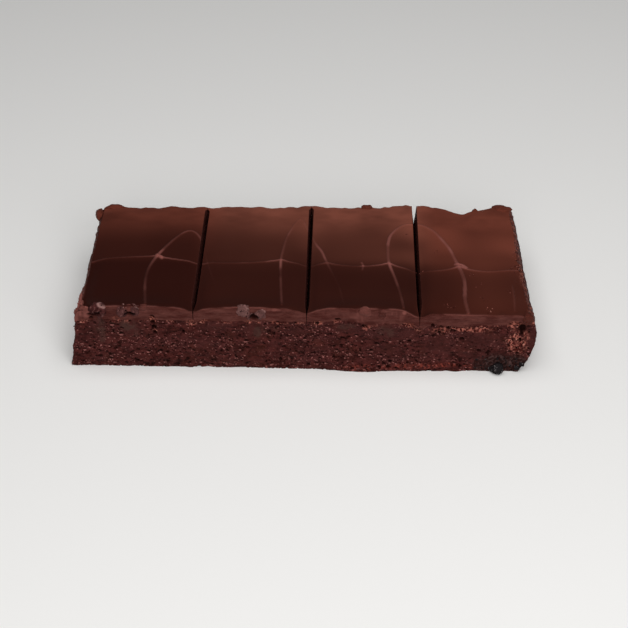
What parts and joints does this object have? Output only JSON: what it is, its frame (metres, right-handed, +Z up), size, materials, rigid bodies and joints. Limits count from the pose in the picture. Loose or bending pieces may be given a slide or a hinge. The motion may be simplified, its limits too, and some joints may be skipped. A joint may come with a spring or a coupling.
{
  "type": "sliced chocolate brownie",
  "caption": "Long block of iced chocolate brownie, cut across into slices that still lie together, with thin piped lines on the icing.",
  "frame": {"origin": "under the middle of the block, on the surface that it rests on", "axes": "+X along the block, from the first slice to the fourth; +Y away from the side with the most crumb, towards the wavy side; +Z up, through the icing"},
  "size_m": [0.2074, 0.0967, 0.0334],
  "materials": {
    "brownie_cake": "open, moist crumb with crags and fine pores",
    "chocolate_icing": "smooth, satin, slightly greasy"
  },
  "bodies": {
    "root": {"slice_1_cake": "brownie_cake", "slice_1_icing": "chocolate_icing", "slice_2_cake": "brownie_cake", "slice_2_icing": "chocolate_icing", "slice_3_cake": "brownie_cake", "slice_3_icing": "chocolate_icing", "slice_4_cake": "brownie_cake", "slice_4_icing": "chocolate_icing"}
  },
  "joints": []
}
